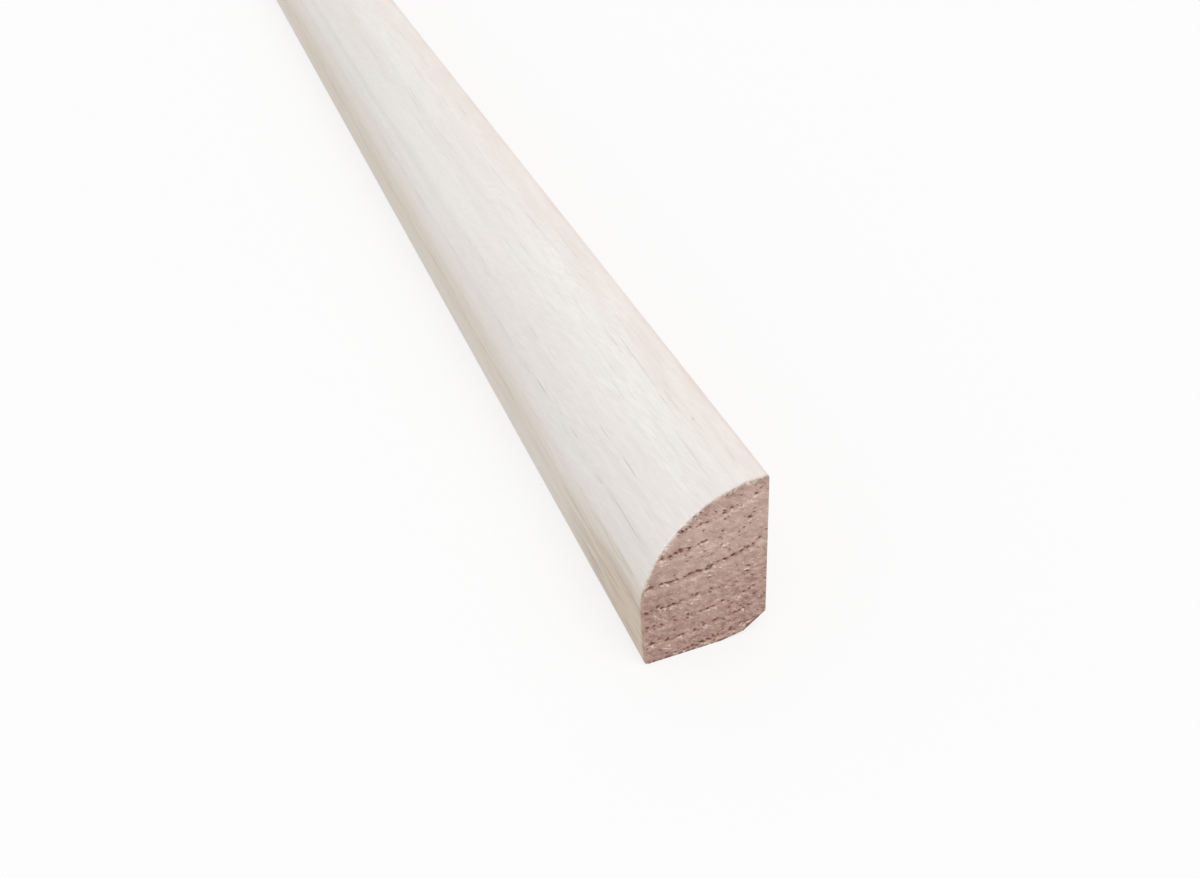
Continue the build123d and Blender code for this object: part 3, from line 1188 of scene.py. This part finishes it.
def whitewashed_red_oak(finish):
    """Red oak, planed by a moulder and sanded, under a thin white pigmented satin lacquer.

    The eye sees a chalky white that yellows where the film is thin, on the toe and at the arrises,
    with faint bands and wavy marks of the grain, short grey pores in rows and a low sheen. The toe's
    yellow is also darkened as painted shade. The back and the bottom are bare wood."""
    material, tree, mesh = new_material(
        "whitewashed_red_oak", "ring", "pore", "wash", "toe", "blush", "deep", "shown"
    )
    fibre = pattern(tree, (9, 0.22, 0.22), detail=3.0, roughness=0.6)
    bands = pattern(tree, (45, 1.1, 1.1))
    early = pore_rows(tree, mesh["ring"])
    wood = planed_wood(tree, finish, early, fibre)
    light = wash_light(tree, mesh, early, fibre, bands)
    wash = wash_colour(tree, finish, mesh, light, bands)

    ragged = pattern(tree, (2, 0.3, 0.3), detail=3.0)
    ragged = add_node(tree, "MapRange", (ragged, 0.2, 0.8, -0.3, 0.3), **SMOOTH)
    ragged = add_node(tree, "Math", (mesh["wash"], ragged), operation="ADD")
    film = add_node(tree, "MapRange", (ragged, 0.25, 0.7), **SMOOTH)
    film = add_node(tree, "Math", (film, mesh["wash"]), operation="MULTIPLY")
    hides = add_node(tree, "Math", (film, finish.wash_cover), operation="MULTIPLY")
    tone = add_node(tree, "Mix", (hides, wood, wash), **COLOURS)
    fine = fine_vessels(tree, early)
    pores = add_node(tree, "Math", (fine, 0.22), operation="MULTIPLY")
    pores = add_node(tree, "Math", (pores, mesh["pore"]), operation="MAXIMUM")
    pores = add_node(tree, "Math", (pores, 0.75), operation="MULTIPLY")
    tone = add_node(tree, "Mix", (pores, tone, paint(finish.open_pore)), **COLOURS)

    raised = add_node(tree, "Math", (fibre, 0.5), operation="MULTIPLY")
    height = add_node(tree, "Math", (raised, fine), operation="SUBTRACT")
    relief = add_node(tree, "Bump", {"Height": height, "Strength": 0.25, "Distance": 0.04 * MM})
    sheen = add_node(tree, "MapRange", (film, 0.0, 1.0, 0.72, 0.5), **SMOOTH)
    finish_material(tree, {"Base Color": tone, "Roughness": sheen, "IOR": 1.47, "Normal": relief})
    return material


def sawn_light(tree, ring, speckle, mottle):
    """How light the cut wood is: 0 where the saw has crushed it and 1 where it is cut clean. It is also
    lighter just beneath each row of vessels, as painted highlight on the lower lip.
    """
    stray = add_node(tree, "MapRange", (mottle, 0.3, 0.7, -0.07, 0.07), **SMOOTH)
    phase = ring_phase(tree, ring, stray)
    # A lighter band just beneath each ring's row of vessels: painted highlight of the lower lip
    begins = add_node(tree, "MapRange", (phase, 0.05, 0.17), **SMOOTH)
    ends = add_node(tree, "MapRange", (phase, 0.22, 0.4, 1.0, 0.0), **SMOOTH)
    lip_highlight = add_node(tree, "Math", (begins, ends), operation="MULTIPLY")
    late = add_node(tree, "MapRange", (phase, 0.7, 0.9), **SMOOTH)
    begins = add_node(tree, "MapRange", (phase, 0.93, 0.99), **SMOOTH)
    ends = add_node(tree, "MapRange", (phase, 0.02, 0.1, 1.0, 0.0), **SMOOTH)
    torn = add_node(tree, "Math", (begins, ends), operation="MAXIMUM")
    fuzz = pattern(tree, (1, 0.75, 0.24), turn=-36, detail=3.0, roughness=0.6)
    blotch = pattern(tree, 1.7)
    # Duller towards the toe, in the middle of the height
    place = add_node(tree, "TexCoord").outputs["Object"]
    across = add_node(tree, "SeparateXYZ", (place,)).outputs["Y"]
    toward_toe = add_node(tree, "MapRange", (across, -5.0 * MM, 1.0 * MM, -0.13, 0.0), **SMOOTH)
    mid_height = add_node(tree, "MapRange", (ring, 10.3, 11.6, 1.0, 0.0), **SMOOTH)
    duller = add_node(tree, "Math", (toward_toe, mid_height), operation="MULTIPLY")
    spans = (
        (speckle, 0.3, 0.7, 0.17, 0.43),
        (mottle, 0.3, 0.7, -0.15, 0.15),
        (fuzz, 0.35, 0.7, -0.14, 0.27),
        (blotch, 0.35, 0.65, -0.08, 0.08),
        (lip_highlight, 0.0, 1.0, 0.0, 0.16),
        (late, 0.0, 1.0, 0.0, 0.08),
        (ring, 9.0, 13.0, 0.03, -0.05),
        (torn, 0.0, 1.0, 0.0, -0.08),
    )
    return total(tree, *(add_node(tree, "MapRange", span, **SMOOTH) for span in spans), duller)


def sawn_red_oak(finish):
    """Red oak end grain as a coarse saw leaves it, bare but for wash that has run over the arris.

    The eye sees a dull pinkish brown, darker where vessels are torn open in rows, with painted shade in
    their hollows, with pale fibre ends beside them, painted lighter as highlights where they catch the
    light, and a mottle of crushed and clean-cut wood between."""
    material, tree, mesh = new_material(
        "sawn_red_oak_end_grain", "ring", "pore", "stain", "fibre", "wash"
    )
    speckle = pattern(tree, 0.2, detail=3.0, roughness=0.65)
    mottle = pattern(tree, (1, 0.7, 0.4), roughness=0.6)
    light = sawn_light(tree, mesh["ring"], speckle, mottle)
    tone = add_node(tree, "Mix", (light, paint(finish.sawn_dark), paint(finish.sawn)), **COLOURS)
    top = add_node(tree, "MapRange", (mesh["ring"], 6.3, 7.3, 0.0, 0.2), **SMOOTH)
    below = add_node(tree, "MapRange", (mesh["ring"], 8.0, 10.5, 1.0, 0.0), **SMOOTH)
    pale = add_node(tree, "Math", (top, below), operation="MULTIPLY")
    tone = add_node(tree, "Mix", (pale, tone, paint(finish.pale_fibre_and_highlight)), **COLOURS)
    redness = pattern(tree, (1, 2.5, 0.8))
    redness = add_node(tree, "MapRange", (redness, 0.42, 0.64, 0.05, 0.45), **SMOOTH)
    stain = add_node(tree, "MapRange", (mesh["stain"], 0.15, 1.0), **SMOOTH)
    stain = add_node(tree, "Math", (stain, redness), operation="MULTIPLY")
    tone = add_node(tree, "Mix", (stain, tone, paint(finish.sawn_red)), **COLOURS)

    # What lies on the cut wood: the span of the speckle, how far it moves the value, where the value
    # begins to show and shows in full, and how much of its colour then shows
    layers = (
        # fibre: lifted fibre ends, painted paler as highlights where they catch the light
        ("fibre", 0.3, 0.7, 0.2, 0.15, 0.7, 0.75, finish.pale_fibre_and_highlight),
        # pore: the torn vessels, their dark partly painted shade of their hollows, and the painted shade of
        # the underside's rim
        ("pore", 0.3, 0.7, 0.12, 0.25, 0.85, 0.8, finish.sawn_pit_and_shade),
        ("wash", 0.25, 0.75, 0.17, 0.2, 0.85, 0.92, finish.wash_deep),
    )
    for name, low, high, stray, first, full, most, over in layers:
        ragged = add_node(tree, "MapRange", (speckle, low, high, -stray, stray), **SMOOTH)
        shown = add_node(tree, "Math", (mesh[name], ragged), operation="ADD")
        shown = add_node(tree, "MapRange", (shown, first, full, 0.0, most), **SMOOTH)
        tone = add_node(tree, "Mix", (shown, tone, paint(over)), **COLOURS)

    relief = add_node(tree, "Bump", {"Height": speckle, "Strength": 0.5, "Distance": 0.05 * MM})
    finish_material(tree, {"Base Color": tone, "Roughness": 0.85, "IOR": 1.5, "Normal": relief})
    return material


def seen_white(tree, lit, white, share_seen):
    """lit, with plain white in its place for a share of what the camera and reflections see."""
    rays = add_node(tree, "LightPath").outputs
    seen = rays["Is Camera Ray"]
    for ray in ("Is Glossy Ray", "Is Transmission Ray"):
        seen = add_node(tree, "Math", (seen, rays[ray]), operation="MAXIMUM")
    seen = add_node(tree, "Math", (seen, share_seen), operation="MULTIPLY")
    return add_node(tree, "MixShader", (seen, lit, white))


def studio_floor(stage):
    """A matt painted studio floor. It has no gloss, so the eye sees only a soft contact shadow."""
    material, tree, _ = new_material("matt_white_floor")
    drift = add_node(tree, "MapRange", (pattern(tree, 500), 0.3, 0.7), **SMOOTH)
    worn = [channel * 0.985 for channel in stage.floor]
    tone = add_node(tree, "Mix", (drift, paint(stage.floor), paint(worn)), **COLOURS)
    lit = add_node(tree, "BsdfDiffuse", {"Color": tone})
    white = add_node(tree, "Emission", {"Color": PLAIN_WHITE, "Strength": 1.0})
    add_node(tree, "OutputMaterial", {"Surface": seen_white(tree, lit, white, stage.white_share)})
    return material


# The camera, fitted to the edges of the near end and the stock in the photograph

CAMERA_FROM_END = Vector((80.085, -35.633, 91.410)) * MM  # from the foot of the near end's middle
CAMERA_HEADING = math.radians(-18.215)
CAMERA_DIP = math.radians(36.944)
CAMERA_ROLL = math.radians(-3.974)
LENS, SENSOR_WIDTH = 38.685, 36.0  # mm
NEAREST, FARTHEST = 5 * MM, 50.0  # that the camera sees
FLOOR_HALF = 8.0
KEY_FROM = Vector((0.55, 0.14, 0.9))  # the broad lamp's direction
KEY_SPREAD = math.radians(50)


def place_camera():
    camera = bpy.data.objects.new("camera", bpy.data.cameras.new("camera"))
    camera.data.lens, camera.data.sensor_width = LENS, SENSOR_WIDTH
    camera.data.clip_start, camera.data.clip_end = NEAREST, FARTHEST
    looking = Vector((
        -math.cos(CAMERA_DIP) * math.cos(CAMERA_HEADING),
        -math.cos(CAMERA_DIP) * math.sin(CAMERA_HEADING),
        -math.sin(CAMERA_DIP),
    ))
    right = looking.cross(Vector((0, 0, 1))).normalized()
    up = right.cross(looking)
    rolled_right = math.cos(CAMERA_ROLL) * right + math.sin(CAMERA_ROLL) * up
    rolled_up = math.cos(CAMERA_ROLL) * up - math.sin(CAMERA_ROLL) * right
    turned = Matrix((rolled_right, rolled_up, -looking)).transposed()
    near_end = Vector((HIGH.x, (LOW.y + HIGH.y) / 2, LOW.z))
    camera.matrix_world = Matrix.Translation(near_end + CAMERA_FROM_END) @ turned.to_4x4()
    bpy.context.scene.collection.objects.link(camera)
    bpy.context.scene.camera = camera


def place_lights(stage):
    lamp = bpy.data.lights.new("key", "SUN")
    lamp.energy, lamp.angle = stage.key_strength, KEY_SPREAD
    lamp.color = linear("#FFFBF4")
    key = bpy.data.objects.new("key", lamp)
    key.rotation_mode = "QUATERNION"
    key.rotation_quaternion = KEY_FROM.to_track_quat("Z", "Y")
    bpy.context.scene.collection.objects.link(key)
    world = bpy.data.worlds.new("studio")
    bpy.context.scene.world = world
    world.use_nodes = True
    tree = world.node_tree
    tree.nodes.clear()
    fill = {"Color": paint(linear("#FAFBFF")), "Strength": stage.fill_strength}
    fill = add_node(tree, "Background", fill)
    white = add_node(tree, "Background", {"Color": PLAIN_WHITE, "Strength": 1.0})
    add_node(tree, "OutputWorld", {"Surface": seen_white(tree, fill, white, 1.0)})


def place_floor(stage):
    mesh = bpy.data.meshes.new("floor")
    corners = [(x * FLOOR_HALF, y * FLOOR_HALF, LOW.z) for x, y in ((-1, -1), (1, -1), (1, 1), (-1, 1))]
    mesh.from_pydata(corners, [], [(0, 1, 2, 3)])
    mesh.materials.append(studio_floor(stage))
    floor = bpy.data.objects.new("floor", mesh)
    bpy.context.scene.collection.objects.link(floor)


# Operators and panel


class MOULDING_OT_stock(Operator):
    """Build the length of moulding with its grain and wash"""

    bl_idname = "moulding.stock"
    bl_label = "Build moulding"

    def execute(self, context):
        scene = context.scene
        data = build_moulding(scene.moulding_section, scene.moulding_grain)
        materials = [whitewashed_red_oak(scene.moulding_finish), sawn_red_oak(scene.moulding_finish)]
        stock = mesh_object("oak_moulding", data, materials)
        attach(stock, BODY)
        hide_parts(SOLID)
        return {"FINISHED"}


class MOULDING_OT_stage(Operator):
    """Set up the pale floor, the soft light and the camera"""

    bl_idname = "moulding.stage"
    bl_label = "Set up studio"

    def execute(self, context):
        stage = context.scene.moulding_stage
        place_floor(stage)
        place_lights(stage)
        place_camera()
        context.scene.view_settings.view_transform = "Standard"
        return {"FINISHED"}


class MOULDING_PT_panel(Panel):
    """Sizes, colours and steps of the shoe moulding"""

    bl_idname = "MOULDING_PT_panel"
    bl_label = "Shoe moulding"
    bl_space_type = "VIEW_3D"
    bl_region_type = "UI"
    bl_category = "Moulding"

    def draw(self, context):
        for name, kind in SETTINGS.items():
            box = self.layout.box()
            box.label(text=kind.__doc__)
            for key in kind.__annotations__:
                box.prop(getattr(context.scene, name), key)
        for step in STEPS:
            self.layout.operator(step.bl_idname)


STEPS = (MOULDING_OT_stage, MOULDING_OT_stock)
CLASSES = (*SETTINGS.values(), *STEPS, MOULDING_PT_panel)


def register():
    for kind in CLASSES:
        bpy.utils.register_class(kind)
    for name, kind in SETTINGS.items():
        setattr(bpy.types.Scene, name, PointerProperty(type=kind))


def unregister():
    for name in SETTINGS:
        delattr(bpy.types.Scene, name)
    for kind in reversed(CLASSES):
        bpy.utils.unregister_class(kind)


def main():
    register()
    bpy.ops.moulding.stage()
    bpy.ops.moulding.stock()


if __name__ == "__main__":
    main()
